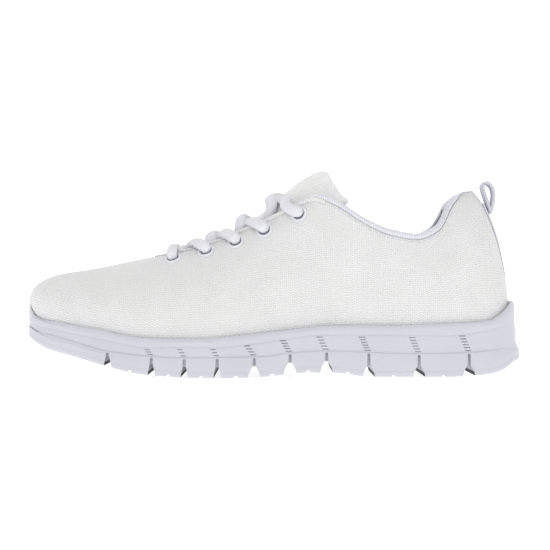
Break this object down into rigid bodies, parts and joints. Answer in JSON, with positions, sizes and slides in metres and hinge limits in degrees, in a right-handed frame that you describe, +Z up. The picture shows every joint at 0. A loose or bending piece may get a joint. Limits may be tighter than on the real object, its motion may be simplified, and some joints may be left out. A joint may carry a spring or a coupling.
{
  "type": "running shoe",
  "caption": "Low white running shoe with a mesh upper, padded collar, lacing, heel pull tab and a sole cut by flex grooves.",
  "frame": {"origin": "centre of the shoe's box, on the surface it stands on", "axes": "toe to -X, heel to +X, outer side of the foot to -Y, +Z up"},
  "size_m": [0.2799, 0.0994, 0.1155],
  "materials": {
    "mesh_white": "fine zig-zag engineered mesh, matte white",
    "lining_lavender": "knit lining, pale lavender white",
    "foam_white": "moulded foam with a satin skin",
    "rubber_white": "moulded outsole rubber, matte",
    "padding_foam": "open cell padding foam",
    "stiff_board": "stiff fibre board and moulded stiffener",
    "lace_lavender": "puffy braided lace",
    "eyelet_plastic": "smooth moulded plastic"
  },
  "bodies": {
    "rearfoot": {"vamp_flex_panel": "mesh_white", "quarter_lateral": "mesh_white", "quarter_medial": "mesh_white", "lining_lateral": "lining_lavender", "lining_medial": "lining_lavender", "collar_binding": "lining_lavender", "back_strip": "lining_lavender", "insole_rear": "lining_lavender", "midsole_rear": "foam_white", "outsole_pad_03": "rubber_white", "outsole_pad_04": "rubber_white", "outsole_pad_05": "rubber_white", "outsole_pad_06": "rubber_white", "outsole_pad_07": "rubber_white", "outsole_pad_08": "rubber_white", "outsole_pad_09": "rubber_white", "outsole_pad_10": "rubber_white", "outsole_pad_11": "rubber_white", "collar_foam": "padding_foam", "strobel_board_rear": "stiff_board", "heel_counter": "stiff_board", "eyestay_lateral": "stiff_board", "eyestay_medial": "stiff_board", "lace": "lace_lavender", "eyelet_lateral_1": "eyelet_plastic", "eyelet_lateral_2": "eyelet_plastic", "eyelet_lateral_3": "eyelet_plastic", "eyelet_lateral_4": "eyelet_plastic", "eyelet_lateral_5": "eyelet_plastic", "eyelet_medial_1": "eyelet_plastic", "eyelet_medial_2": "eyelet_plastic", "eyelet_medial_3": "eyelet_plastic", "eyelet_medial_4": "eyelet_plastic", "eyelet_medial_5": "eyelet_plastic", "aglet_lateral": "eyelet_plastic", "aglet_medial": "eyelet_plastic"},
    "forefoot": {"midsole_forefoot": "foam_white", "outsole_pad_01": "rubber_white", "outsole_pad_02": "rubber_white", "strobel_board_forefoot": "stiff_board", "insole_forefoot": "lining_lavender", "vamp": "mesh_white", "vamp_lining": "lining_lavender", "toe_puff": "stiff_board"},
    "tongue": {"tongue_outer": "mesh_white", "tongue_foam": "padding_foam", "tongue_lining": "lining_lavender"},
    "pull_tab": {"pull_tab": "lining_lavender"}
  },
  "joints": [
    {"name": "forefoot_flex", "type": "hinge", "parent": "rearfoot", "child": "forefoot", "pos_m": [-0.066, 0, 0.022], "axis": [0, 1, 0], "range_deg": [0, 25], "stiffness_Nm_per_rad": 3, "deforming": ["vamp_flex_panel"]},
    {"name": "tongue_swing", "type": "hinge", "parent": "rearfoot", "child": "tongue", "pos_m": [-0.063, 0, 0.058], "axis": [0, 1, 0], "range_deg": [0, 8], "stiffness_Nm_per_rad": 0.5},
    {"name": "pull_tab_fold", "type": "hinge", "parent": "rearfoot", "child": "pull_tab", "pos_m": [0.1236, 0, 0.0905], "axis": [0, 1, 0], "range_deg": [0, 50], "stiffness_Nm_per_rad": 0.02}
  ]
}
